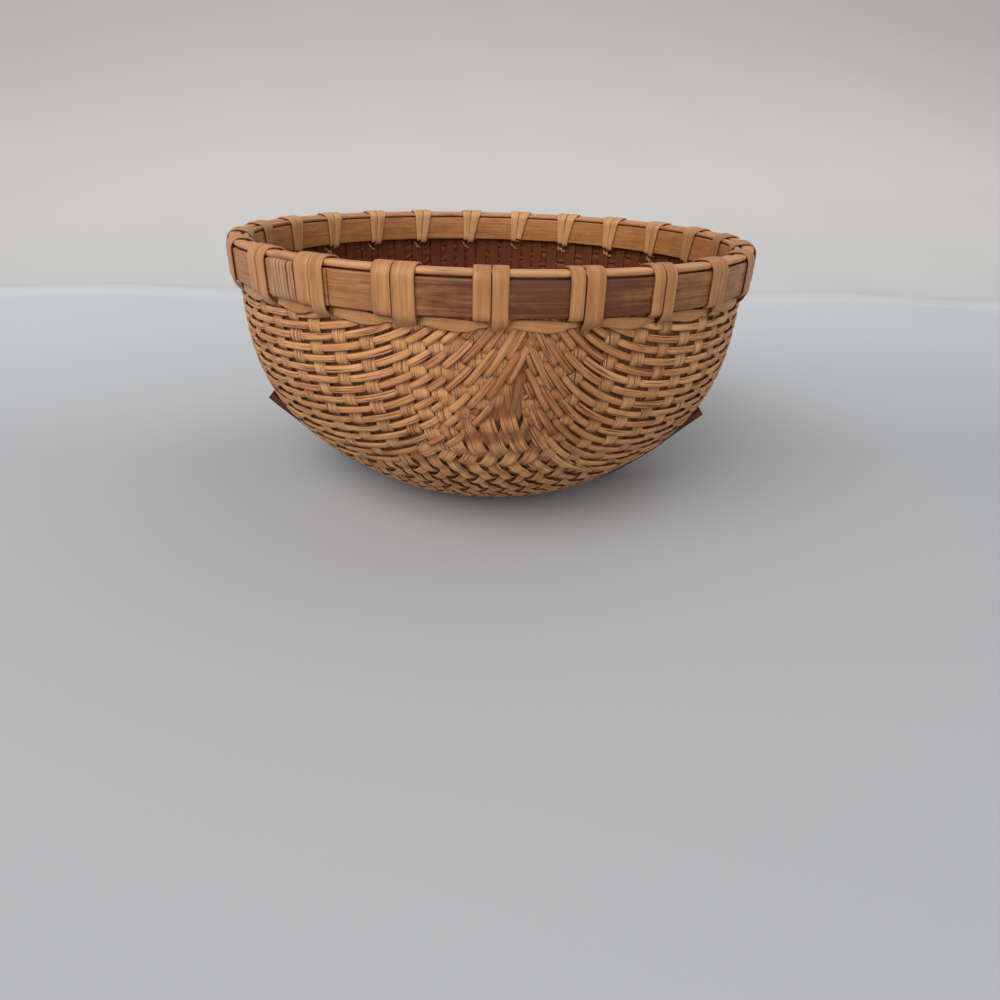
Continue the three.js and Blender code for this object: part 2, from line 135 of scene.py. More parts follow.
# Stakes: two sets of straight lines on the plan that cross at right angles. Every second line within
# main["open"], and a line at half a step, is a filler, recessed on the walls. Rank counts the main ones
def stakeRoute(line, side):
    offset = line * main["pitch"]
    reach = math.sqrt(bowl["wallRadius"] ** 2 - offset ** 2)
    along = reach * np.sin(np.linspace(1, -1, 1201) * np.pi / 2)
    radius = np.minimum(np.hypot(along, offset), bowl["wallRadius"] - 1e-6)
    depth = np.interp(radius, profile["radius"][::-1], profile["depth"][::-1])
    azimuth = np.arctan2(offset, along)
    isFiller = abs(line) <= main["open"] and line % 2 == 1 or line % 1 > 0
    top = np.linspace(main["startDepth"], depth[0], 12)
    depth = np.concatenate([top, depth[1:-1], top[::-1]])
    azimuth = np.concatenate([np.full(len(top), azimuth[0]), azimuth[1:-1], np.full(len(top), azimuth[-1])])
    azimuth = azimuth - math.radians(main["turn"])
    if side < 0:
        azimuth = -azimuth
    route = evenRoute(azimuth + math.radians(main["lean"]), depth, step)
    rank = int(line // 2) if abs(line) <= main["open"] else int(math.copysign(abs(line) - main["open"] // 2, line))
    route.update(line=line, side=side, filler=isFiller, rank=rank)
    return route


weaver = {"width": 2.15, "thick": 1.0, "swell": 0.2, "rows": 17, "top": {-1: 4.4, 1: 4.3},
          "pitch": {-1: 3.75, 1: 4.0}, "widenAfter": 6, "widen": 0.045, "shade": 1.0,
          "startDepth": -9.0}
# shadeWidth, shadeUntil, shadeFade and tone set the painted shade at the fans, which lowers the strips' tone and lift
# there
fan = {"azimuth": 9.0, "past": {-1: 8, 1: 3}, "rise": {-1: 67.5, 1: 36.0}, "spread": {-1: 27.0, 1: 18.0},
       "near": 14.0, "tilt": 0.35, "lift": 0.35, "swell": 0.3, "shadeWidth": 30.0, "shadeUntil": 56.0,
       "shadeFade": 14.0, "tone": 0.8}


# Weavers: from the front fan round one wall to the back fan, each row below the last
def weaverRoute(row, side):
    total = bowl["wallRadius"] * math.pi
    across = np.linspace(-fan["past"][side], total + fan["past"][side], 900)
    below = max(row - weaver["widenAfter"], 0)
    level = weaver["top"][side] + weaver["pitch"][side] * row + weaver["widen"] * below ** 2
    fans = np.exp(-across / fan["spread"][side]) + np.exp(-(total - across) / fan["spread"][side])
    depth = level - fan["rise"][side] * fans
    keep = depth > weaver["startDepth"]
    azimuth = math.radians(fan["azimuth"]) + side * across / bowl["wallRadius"]
    route = evenRoute(azimuth[keep], depth[keep], step)
    route.update(row=row, side=side)
    return route


stakes = [stakeRoute(line, side) for side in (1, -1) for line in range(-main["last"], main["last"] + 1)]
liners = [stakeRoute(end * (line + 0.5), side) for side in (1, -1) for end in (1, -1)
          for line in range(main["open"], main["last"])]
weavers = [weaverRoute(row, side) for side in (-1, 1) for row in range(weaver["rows"])]
print("routes", len(stakes), len(weavers), flush=True)

layer = {"inset": 1.15, "weaver": 0.85, "main": 0.38, "base": 0.75}
# Half length and ramp of the stretch in which a strip is at its full height at a crossing
crossing = {"base": (1.4, 2.0), "weaver": (1.6, 1.8), "main": (1.2, 1.4)}

# Marks say where along a route it lies over or under another: a 2/1 twill of stakes under the base,
# and weavers over and under every second main stake on the walls
for route in stakes + weavers:
    route["marks"] = []
for one in stakes:
    for two in stakes:
        if one["side"] == 1 and two["side"] == -1:
            for atOne, atTwo in crossings(one, two):
                secondOver = (one["line"] + two["line"]) % 3 == 2
                height = layer["base"]
                one["marks"].append((atOne, -height if secondOver else height, *crossing["base"]))
                two["marks"].append((atTwo, height if secondOver else -height, *crossing["base"]))
for thin in weavers:
    for flat in stakes:
        if flat["filler"]:
            continue
        for atThin, atFlat in crossings(thin, flat):
            over = (thin["row"] + flat["rank"] + (flat["side"] < 0)) % 2 == 1
            if not over:
                thin["marks"].append((atThin, -layer["weaver"], *crossing["weaver"]))
            flat["marks"].append((atFlat, -layer["main"] if over else layer["main"], *crossing["main"]))
print("crossings", sum(len(route["marks"]) for route in stakes + weavers), flush=True)


# Height of a route above the middle of the weave: from its marks, and rest away from them
def lift(route, rest):
    fine = np.arange(0, route["at"][-1] + fineStep, fineStep)
    height = np.full(len(fine), rest)
    weight = np.zeros(len(fine))
    total = np.zeros(len(fine))
    for at, level, flatHalf, ramp in sorted(route["marks"]):
        near = np.clip(1 - (np.abs(fine - at) - flatHalf) / ramp, 0, 1)
        total += near * level
        weight += near
    share = np.clip(weight, 0, 1)
    height = height * (1 - share) + np.where(weight > 0, total / np.maximum(weight, 1e-6), 0) * share
    kernel = np.hanning(9)
    height = np.convolve(np.pad(height, 4, mode="edge"), kernel / kernel.sum(), mode="valid")
    return np.interp(route["at"], fine, height)


# A direction at right angles to another at each point, of length 1
def squareTo(along, direction):
    square = direction - along * (direction * along).sum(1)[:, None]
    return square / np.linalg.norm(square, axis=1)[:, None]


def directionAlong(centre):
    along = np.gradient(centre, axis=0)
    return along / np.linalg.norm(along, axis=1)[:, None]


# How deep a point lies in the shade of the front or back fan
def fanShade(route):
    turned = route["azimuth"] - math.radians(fan["azimuth"])
    away = np.abs((turned + math.pi / 2) % math.pi - math.pi / 2) * bowl["wallRadius"]
    high = np.clip((fan["shadeUntil"] - route["depth"]) / fan["shadeFade"], 0, 1)
    return np.exp(-(away / fan["shadeWidth"]) ** 2) * high


# A strip on a route: number picks its fibre pattern, tone makes it paler, and lift is 1 where it lies
# reach above the middle of the weave and -1 where it lies below, in painted shade; near the fans painted shade lowers
# both
def stripFromRoute(route, height, width, thick, number, tone, reach, shade, tilt=None):
    point, normal = onBowl(route["azimuth"], route["depth"])
    centre = point + normal * (height - layer["inset"])[:, None]
    along = directionAlong(centre)
    outward = squareTo(along, normal)
    across = np.cross(outward, along)
    if tilt is not None:
        cos, sin = np.cos(tilt)[:, None], np.sin(tilt)[:, None]
        across, outward = across * cos + outward * sin, outward * cos - across * sin
    # Painted shade: near the fans fanShade lowers the tone and pushes lift down
    full = np.ones(len(centre))
    return {"centre": centre, "across": across, "outward": outward, "width": full * width, "thick": full * thick,
            "along": route["at"], "number": number, "tone": tone - fan["tone"] * fanShade(route),
            "lift": np.clip(height / reach - shade * fanShade(route), -1, 1)}


print("stage: strips", flush=True)
sets = {"stakes_rising_right": [], "stakes_rising_left": [], "weavers_left": [], "weavers_right": []}
for i, route in enumerate(stakes):
    tone = float(rng.uniform(-1, 1))
    height = lift(route, 0.0)
    look = filler if route["filler"] else main
    if route["filler"]:
        high = np.clip((filler["risesFrom"] - route["depth"]) / filler["risesOver"], 0, 1)
        height = height * (1 - high) + filler["recess"] * high
        reach = layer["base"] * (1 - high) + filler["dip"] * high
    else:
        high = 1 - np.clip((route["depth"] - main["narrowFrom"]) / main["narrowOver"], 0, 1)
        reach = layer["base"] * (1 - high) + layer["main"] * high
    width = look["width"] * high + look["baseWidth"] * (1 - high)
    strip = stripFromRoute(route, height, width, look["thick"], i, tone, reach, look["shade"])
    sets["stakes_rising_right" if route["side"] > 0 else "stakes_rising_left"].append(strip)
for i, route in enumerate(liners):
    tone = float(rng.uniform(-1, 1))
    middle = len(route["at"]) // 2
    for part in (slice(0, middle), slice(middle, None)):
        onWall = route["depth"][part] < liner["until"]
        wall = {key: route[key][part][onWall] for key in ("azimuth", "depth", "at")}
        strip = stripFromRoute(wall, np.full(onWall.sum(), filler["recess"]), liner["width"], filler["thick"],
                               150 + i, tone, filler["dip"], liner["shade"])
        sets["stakes_rising_right" if route["side"] > 0 else "stakes_rising_left"].append(strip)
for i, route in enumerate(weavers):
    tone = float(rng.uniform(-1, 1))
    height = lift(route, layer["weaver"])
    away = np.abs(route["azimuth"] - math.radians(fan["azimuth"])) * bowl["wallRadius"]
    away = np.minimum(away, bowl["wallRadius"] * math.pi - away)
    near = np.exp(-np.maximum(away, 0) / fan["near"])
    width = weaver["width"] * (1 + weaver["swell"] * height / layer["weaver"]) + fan["swell"] * near
    strip = stripFromRoute(route, height + fan["lift"] * near, width, weaver["thick"], 100 + i, tone,
                           layer["weaver"], weaver["shade"], route["side"] * -fan["tilt"] * near)
    sets["weavers_left" if route["side"] < 0 else "weavers_right"].append(strip)


# Adds a node with its settings and inputs. An input is i0, i1 and so on, or a name with _ for a space. It
# takes a value, a socket, or a node for that node's first output
def addNode(tree, kind, settings=None, **inputs):
    node = tree.nodes.new(kind)
    for key, value in (settings or {}).items():
        setattr(node, key, value)
    for key, value in inputs.items():
        socket = node.inputs[int(key[1:]) if key[0] == "i" and key[1:].isdigit() else key.replace("_", " ")]
        source = value.outputs[0] if isinstance(value, bpy.types.Node) else value
        if isinstance(source, bpy.types.NodeSocket):
            tree.links.new(source, socket)
        else:
            socket.default_value = source
    return node


def addObject(name, data):
    made = bpy.data.objects.new(name, data)
    bpy.context.scene.collection.objects.link(made)
    return made


def newMaterial(name, roughness, shine):
    material = bpy.data.materials.new(name)
    material.use_nodes = True
    shader = material.node_tree.nodes["Principled BSDF"]
    shader.inputs["Roughness"].default_value = roughness
    shader.inputs["Specular IOR Level"].default_value = shine
    return material, material.node_tree, shader


def linear(hexColour):
    channels = [int(hexColour[i:i + 2], 16) / 255 for i in (1, 3, 5)]
    return (*[c / 12.92 if c <= 0.04045 else ((c + 0.055) / 1.055) ** 2.4 for c in channels], 1.0)


# Sweeps a rounded section along each line, from the centre, across and outward of its points
def sweepTree():
    tree = bpy.data.node_groups.new("Strip sweep", "GeometryNodeTree")
    sockets = tree.interface
    sockets.new_socket("Geometry", in_out="INPUT", socket_type="NodeSocketGeometry")
    for name, kind, value in (("Section points", "NodeSocketInt", 10), ("Edge squareness", "NodeSocketFloat", 0.45),
                              ("Face roundness", "NodeSocketFloat", 0.6), ("Material", "NodeSocketMaterial", None)):
        socket = sockets.new_socket(name, in_out="INPUT", socket_type=kind)
        if value is not None:
            socket.default_value = value
    sockets.new_socket("Geometry", in_out="OUTPUT", socket_type="NodeSocketGeometry")
    start = tree.nodes.new("NodeGroupInput")
    end = tree.nodes.new("NodeGroupOutput")
    circle = addNode(tree, "GeometryNodeCurvePrimitiveCircle", Resolution=start.outputs["Section points"],
                     Radius=1.0)
    place = addNode(tree, "GeometryNodeInputPosition")
    corner = addNode(tree, "GeometryNodeStoreNamedAttribute", {"data_type": "FLOAT_VECTOR", "domain": "POINT"},
                     Geometry=circle, Name="corner", Value=place)
    line = addNode(tree, "GeometryNodeMeshToCurve", Mesh=start.outputs["Geometry"])
    swept = addNode(tree, "GeometryNodeCurveToMesh", Curve=line, Profile_Curve=corner, Fill_Caps=True)
    stored = {key: addNode(tree, "GeometryNodeInputNamedAttribute", {"data_type": kind}, Name=key).outputs["Attribute"]
              for key, kind in (("corner", "FLOAT_VECTOR"), ("centre", "FLOAT_VECTOR"), ("across", "FLOAT_VECTOR"),
                                ("outward", "FLOAT_VECTOR"), ("width", "FLOAT"), ("thick", "FLOAT"))}
    split = addNode(tree, "ShaderNodeSeparateXYZ", i0=stored["corner"])
    # Each corner of the round section goes out to half the strip's size, the sooner the lower its power
    times, offsets, moves = {"operation": "MULTIPLY"}, [], []
    for axis, power, size, direction in ((0, "Edge squareness", "width", "across"),
                                         (1, "Face roundness", "thick", "outward")):
        distance = addNode(tree, "ShaderNodeMath", {"operation": "ABSOLUTE"}, i0=split.outputs[axis])
        distance = addNode(tree, "ShaderNodeMath", {"operation": "POWER"}, i0=distance, i1=start.outputs[power])
        sign = addNode(tree, "ShaderNodeMath", {"operation": "SIGN"}, i0=split.outputs[axis])
        half = addNode(tree, "ShaderNodeMath", times, i0=stored[size], i1=0.5)
        signed = addNode(tree, "ShaderNodeMath", times, i0=distance, i1=sign)
        offsets.append(addNode(tree, "ShaderNodeMath", times, i0=signed, i1=half))
        moves.append(addNode(tree, "ShaderNodeVectorMath", {"operation": "SCALE"}, i0=stored[direction],
                             Scale=offsets[-1]))
    fromCentre = addNode(tree, "ShaderNodeVectorMath", {"operation": "ADD"}, i0=moves[0], i1=moves[1])
    whole = addNode(tree, "ShaderNodeVectorMath", {"operation": "ADD"}, i0=stored["centre"], i1=fromCentre)
    inMetres = addNode(tree, "ShaderNodeVectorMath", {"operation": "SCALE"}, i0=whole, Scale=millimetre)
    marked = addNode(tree, "GeometryNodeSetPosition", Geometry=swept, Position=inMetres)
    for name, value in (("acrossMm", offsets[0]), ("side", split.outputs[0]), ("face", split.outputs[1])):
        marked = addNode(tree, "GeometryNodeStoreNamedAttribute", {"data_type": "FLOAT", "domain": "POINT"},
                         Geometry=marked, Name=name, Value=value)
    smooth = addNode(tree, "GeometryNodeSetShadeSmooth", Geometry=marked)
    real = addNode(tree, "GeometryNodeRealizeInstances", Geometry=smooth)
    dressed = addNode(tree, "GeometryNodeSetMaterial", Geometry=real, Material=start.outputs["Material"])
    tree.links.new(dressed.outputs[0], end.inputs[0])
    return tree


stripSweep = sweepTree()


# Points, edge squareness and face roundness of each kind of strip's section
section = {"weaver": (10, 0.7, 0.8), "stake": (10, 0.35, 0.55), "strap": (12, 0.3, 0.5), "winding": (10, 0.5, 0.7),
           "hoop": (16, 0.12, 0.4), "splint": (12, 0.7, 0.7), "slat": (16, 0.12, 0.25)}


# One piece from its strips, with the section of its kind
def stripPiece(name, strips, material, kind):
    mesh = bpy.data.meshes.new(name + "_lines")
    centres = np.concatenate([strip["centre"] for strip in strips])
    edges, offset = [], 0
    for strip in strips:
        count = len(strip["centre"])
        index = np.arange(offset, offset + count)
        edges.append(np.stack([index[:-1], index[1:]], 1))
        offset += count
    mesh.from_pydata(centres * millimetre, np.concatenate(edges).tolist(), [])
    vectors, numbers = ("centre", "across", "outward"), ("width", "thick", "along", "number", "tone", "lift")
    for key in vectors + numbers:
        values = [np.asarray(strip.get(key, 1.0), dtype=np.float32) for strip in strips]
        values = np.concatenate([np.broadcast_to(value, (len(strip["centre"]),) + value.shape[1:])
                                 for value, strip in zip(values, strips)])
        attribute = mesh.attributes.new(key, "FLOAT_VECTOR" if key in vectors else "FLOAT", "POINT")
        attribute.data.foreach_set("vector" if key in vectors else "value", values.astype(np.float32).ravel())
    lines = addObject(name + "_lines", mesh)
    modifier = lines.modifiers.new("Strip sweep", "NODES")
    modifier.node_group = stripSweep
    inputs = {item.name: item.identifier for item in stripSweep.interface.items_tree if item.in_out == "INPUT"}
    for key, value in zip(("Section points", "Edge squareness", "Face roundness"), section[kind]):
        modifier[inputs[key]] = value
    modifier[inputs["Material"]] = material
    depsgraph = bpy.context.evaluated_depsgraph_get()
    solid = bpy.data.meshes.new_from_object(lines.evaluated_get(depsgraph), preserve_all_data_layers=True,
                                            depsgraph=depsgraph)
    bpy.data.objects.remove(lines)
    solid.name = name
    for key in ("centre", "across", "outward", "width", "thick", "corner"):
        solid.attributes.remove(solid.attributes[key])
    if signedVolume(solid) < 0:
        solid.flip_normals()
    return addObject(name, solid)


def signedVolume(mesh):
    mesh.calc_loop_triangles()
    place = np.empty(len(mesh.vertices) * 3, dtype=np.float32)
    mesh.vertices.foreach_get("co", place)
    place = place.reshape(-1, 3).astype(float)
    corner = np.empty(len(mesh.loop_triangles) * 3, dtype=np.int32)
    mesh.loop_triangles.foreach_get("vertices", corner)
    a, b, c = (place[corner.reshape(-1, 3)[:, k]] for k in range(3))
    return float((a * np.cross(b, c)).sum() / 6)


# Split bamboo: fibre lines along the strip, and painted shade at its edges, where it dips and on its inner face
def bambooMaterial(name, look):
    material, tree, shader = newMaterial(name, look["roughness"], look["shine"])
    across, along, number, tone, side, lifted, face = (
        addNode(tree, "ShaderNodeAttribute", {"attribute_name": key}).outputs["Fac"]
        for key in ("acrossMm", "along", "number", "tone", "side", "lift", "face"))
    times, minus = {"operation": "MULTIPLY"}, {"operation": "SUBTRACT"}
    timesWithin, timesPlus = {**times, "use_clamp": True}, {"operation": "MULTIPLY_ADD", "use_clamp": True}
    shift = addNode(tree, "ShaderNodeMath", times, i0=number, i1=7.31)  # so that each strip has its own pattern
    # Waves in a millimetre across and along, a shift that keeps the patterns unlike, and detail
    patterns = {"fine": (look["fibres"], 0.05, 0.0, 3.0), "wide": (look["fibres"] * 0.35, 0.03, 40.0, 1.0),
                "patch": (0.3, 0.12, 80.0, 2.0)}
    noise = {}
    for key, (wavesAcross, wavesAlong, apart, detail) in patterns.items():
        x = addNode(tree, "ShaderNodeMath", times, i0=across, i1=wavesAcross)
        y = addNode(tree, "ShaderNodeMath", times, i0=along, i1=wavesAlong)
        z = addNode(tree, "ShaderNodeMath", {"operation": "ADD"}, i0=shift, i1=apart)
        place = addNode(tree, "ShaderNodeCombineXYZ", i0=x, i1=y, i2=z)
        noise[key] = addNode(tree, "ShaderNodeTexNoise", {"noise_dimensions": "3D"}, Vector=place, Scale=1.0,
                             Detail=detail, Roughness=0.6)
    lines = addNode(tree, "ShaderNodeMath", minus, i0=look["lineLimit"], i1=noise["fine"])
    lines = addNode(tree, "ShaderNodeMath", timesWithin, i0=lines, i1=look["lineSharpness"])
    blotch = addNode(tree, "ShaderNodeMath", {"operation": "MULTIPLY_ADD"}, i0=noise["patch"],
                     i1=look["patches"] * 4, i2=0.5 - look["patches"] * 2)
    body = addNode(tree, "ShaderNodeMath", timesPlus, i0=tone, i1=look["tones"], i2=blotch)
    band = addNode(tree, "ShaderNodeMath", minus, i0=noise["wide"], i1=0.5)
    body = addNode(tree, "ShaderNodeMath", timesPlus, i0=band, i1=look["bands"], i2=body)
    # Painted shade: darker towards the edges of the strip
    border = addNode(tree, "ShaderNodeMath", {"operation": "ABSOLUTE"}, i0=side)
    border = addNode(tree, "ShaderNodeMath", minus, i0=border, i1=look["edgeFrom"])
    border = addNode(tree, "ShaderNodeMath", timesWithin, i0=border, i1=look["edgeSharpness"])
    # Painted shade: darker where lift is low, where the strip lies under others and in the painted shade of the fans
    dip = addNode(tree, "ShaderNodeMath", timesPlus, i0=lifted, i1=-0.5, i2=0.5)
    # Painted shade: darker on the inner face, where little light gets in
    inner = addNode(tree, "ShaderNodeMath", timesPlus, i0=face, i1=-3.0, i2=0.0)
    colour = addNode(tree, "ShaderNodeMix", {"data_type": "RGBA"}, i0=body, i6=linear(look["deep"]),
                     i7=linear(look["pale"])).outputs[2]
    for layerShare, amount, layerColour in ((lines, "lines", "line"), (border, "edges", "line"),
                                            (dip, "dips", "line"), (inner, "inside", "within")):
        share = addNode(tree, "ShaderNodeMath", times, i0=layerShare, i1=look[amount])
        colour = addNode(tree, "ShaderNodeMix", {"data_type": "RGBA"}, i0=share, i6=colour,
                         i7=linear(look[layerColour])).outputs[2]
    tree.links.new(colour, shader.inputs["Base Color"])
    bump = addNode(tree, "ShaderNodeBump", Height=noise["fine"], Strength=look["bump"], Distance=look["bumpDepth"])
    tree.links.new(bump.outputs[0], shader.inputs["Normal"])
    return material


# What all the bamboo shares. fibres are the bundles in a millimetre, about 2 in real bamboo
# within is the colour of the painted shade on a strip's inner face; edges, dips and inside are amounts of painted
# shade
plain = {"fibres": 2.2, "tones": 0.22, "patches": 0.25, "lines": 0.5, "edges": 0.35, "dips": 0.0, "inside": 0.0,
         "within": "#62290f", "roughness": 0.5, "shine": 0.3, "bump": 0.5, "bumpDepth": 0.00018, "bands": 0.9,
         "lineLimit": 0.49, "lineSharpness": 8.0, "edgeFrom": 0.72, "edgeSharpness": 4.0}
# Inner wood of split bamboo, scraped and dry: dull, with dark fibre lines, and red brown painted shade where it dips
# and on its inner face
weaverBamboo = bambooMaterial("bare split bamboo weaver", {
    **plain, "pale": "#dba26d", "deep": "#a76b3b", "line": "#481a08", "lines": 0.85, "dips": 0.7, "inside": 0.8,
    "edges": 0.45})
# Split bamboo stakes: as the weavers, with more painted shade at their edges
stakeBamboo = bambooMaterial("bare split bamboo stake", {
    **plain, "pale": "#dca872", "deep": "#ab7142", "line": "#481a08", "fibres": 2.6, "lines": 0.85, "dips": 0.75,
    "inside": 0.8, "edges": 0.7, "shine": 0.25})
# Skin side out, shaved thin: smooth and even, with a soft shine
strapBamboo = bambooMaterial("bamboo skin strap, satin", {
    **plain, "pale": "#cd9866", "deep": "#98653a", "line": "#6d4223", "tones": 0.45, "patches": 0.12, "fibres": 1.6,
    "lines": 0.3, "edges": 0.3, "roughness": 0.42})
# Pared half round: fine pale grain with a soft shine
splintBamboo = bambooMaterial("bamboo splint, satin", {
    **plain, "pale": "#cc9468", "deep": "#a8754c", "line": "#5a3520", "lines": 0.35, "edges": 0.1, "roughness": 0.45})
# Skin browned by smoke: streaked along its length, with a soft shine
outerBamboo = bambooMaterial("smoked bamboo skin, satin", {
    **plain, "pale": "#a97447", "deep": "#5c3019", "line": "#3c1d10", "fibres": 2.6, "lines": 0.35, "tones": 0.45,
    "roughness": 0.42, "edges": 0.0})
# Skin that the smoke didn't reach: an even honey brown
innerBamboo = bambooMaterial("bamboo skin, satin honey brown", {
    **plain, "pale": "#c88b52", "deep": "#955d36", "line": "#472a17", "lines": 0.35, "edges": 0.1, "roughness": 0.42})
# A narrow strip wound tight: dull, with painted shade at its edges that parts the turns
wrapBamboo = bambooMaterial("bamboo winding, dull", {
    **plain, "pale": "#c4946a", "deep": "#96704e", "line": "#4a2c18", "edges": 1.0, "lines": 0.8})
# Thick bamboo: dark red brown, nearly plain
slatBamboo = bambooMaterial("dark red brown bamboo slat, satin", {
    **plain, "pale": "#6a3a28", "deep": "#3f2018", "line": "#2a150f", "fibres": 1.5, "lines": 0.3, "edges": 0.1})

pieces = {}
for name, strips in sets.items():
    material, kind = (weaverBamboo, "weaver") if name.startswith("weavers") else (stakeBamboo, "stake")
    pieces[name] = stripPiece(name, strips, material, kind)
    print(name, len(pieces[name].data.polygons), "faces, volume", signedVolume(pieces[name].data), flush=True)


# A strip through given sections, each one a centre and a half width as a vector
def ringStrip(sections, thick, number, tone, spacing=0.9):
    control = np.array([np.concatenate(pair) for pair in sections])
    length = arcLength(control[:, :3])
    at = np.linspace(0, length[-1], max(int(length[-1] / spacing), 6))
    fine = np.stack([np.interp(at, length, control[:, k]) for k in range(6)], 1)
    kernel = np.hanning(5)
    kernel /= kernel.sum()
    inner = np.stack([np.convolve(np.pad(fine[:, k], 2, mode="edge"), kernel, mode="valid") for k in range(6)], 1)
    inner[0], inner[-1] = fine[0], fine[-1]
    centre, halfWidth = inner[:, :3], inner[:, 3:]
    along = directionAlong(centre)
    across = squareTo(along, halfWidth)
    return {"centre": centre, "across": across, "outward": np.cross(along, across),
            "width": 2 * np.linalg.norm(halfWidth, axis=1), "thick": np.full(len(centre), thick), "along": at,
            "number": number, "tone": tone}


lashing = {"stations": 23, "first": 1.39, "thick": 0.7, "hang": 4.1, "start": 3, "perStrip": (8, 8, 7),
           "widths": (4.6, 6.2), "leftEnd": -2.0, "rightStart": -1.6, "hiddenHalf": 1.5}
hoopBottom, hoopTop, rimTop = rim["hoopBottom"], rim["hoopTop"], rim["top"]
innerInside = rim["innerOutside"] - rim["innerThick"]
half = lashing["thick"] / 2
lapInside = innerInside - gap - half
lapOutside = rim["radius"] + gap + half
lapUnder = hoopBottom - gap - half
leafRadius = bowl["wallRadius"] + gap + half
# A lap over the rim from inside to outside as radius and height, and its share of the full width at each
overRim = [(lapInside, hoopBottom + 0.8), (lapInside, hoopTop + 1.0), (lapInside + 1.2, rimTop - 0.05),
           (lapInside + 3.3, rimTop + 0.45), (lapOutside - 3.65, rimTop + gap + half),
           (lapOutside - 1.7, rimTop + 0.1), (lapOutside - 0.25, hoopTop + 0.8), (lapOutside, hoopTop - 0.5),
           (lapOutside, hoopBottom + 0.8)]
lapShares = (0, 0.65, 0.9, 1, 1, 1, 1, 1, 1)
stationPitch = 2 * math.pi / lashing["stations"]


# A section at a distance along the rim from a station, its half width given along, out and up
def lapSection(station, along, radius, height, halfWidth):
    azimuth = math.radians(lashing["first"]) + station * stationPitch + along / radius
    sin, cos = math.sin(azimuth), math.cos(azimuth)
    x, y, z = halfWidth
    return (np.array([radius * sin, -radius * cos, height]), np.array([x * cos + y * sin, x * sin - y * cos, z]))


# Reach of the left and right strap of a pair, in millimetres along the rim from the station; the
# stations that face the camera are as measured in the photograph, the others vary a little
measured = {-3: (-6.1, -0.1, 0.3, 5.7), -2: (-8.0, -1.6, -1.5, 4.3), -1: (-8.0, -1.6, -1.4, 6.2),
            0: (-6.4, -0.9, -0.6, 4.5), 1: (-7.0, -2.3, -1.9, 4.4), 2: (-8.2, -3.7, -3.2, 1.2),
            3: (-10.3, -5.4, -5.0, -0.5), 4: (-9.5, -4.6, -4.2, 0.6)}
pairs = {}
for k in range(lashing["stations"]):
    widths = rng.uniform(*lashing["widths"], 2)
    pairs[k] = (lashing["leftEnd"] - widths[0], lashing["leftEnd"], lashing["rightStart"],
                lashing["rightStart"] + widths[1])
for k, reach in measured.items():
    pairs[k % lashing["stations"]] = reach


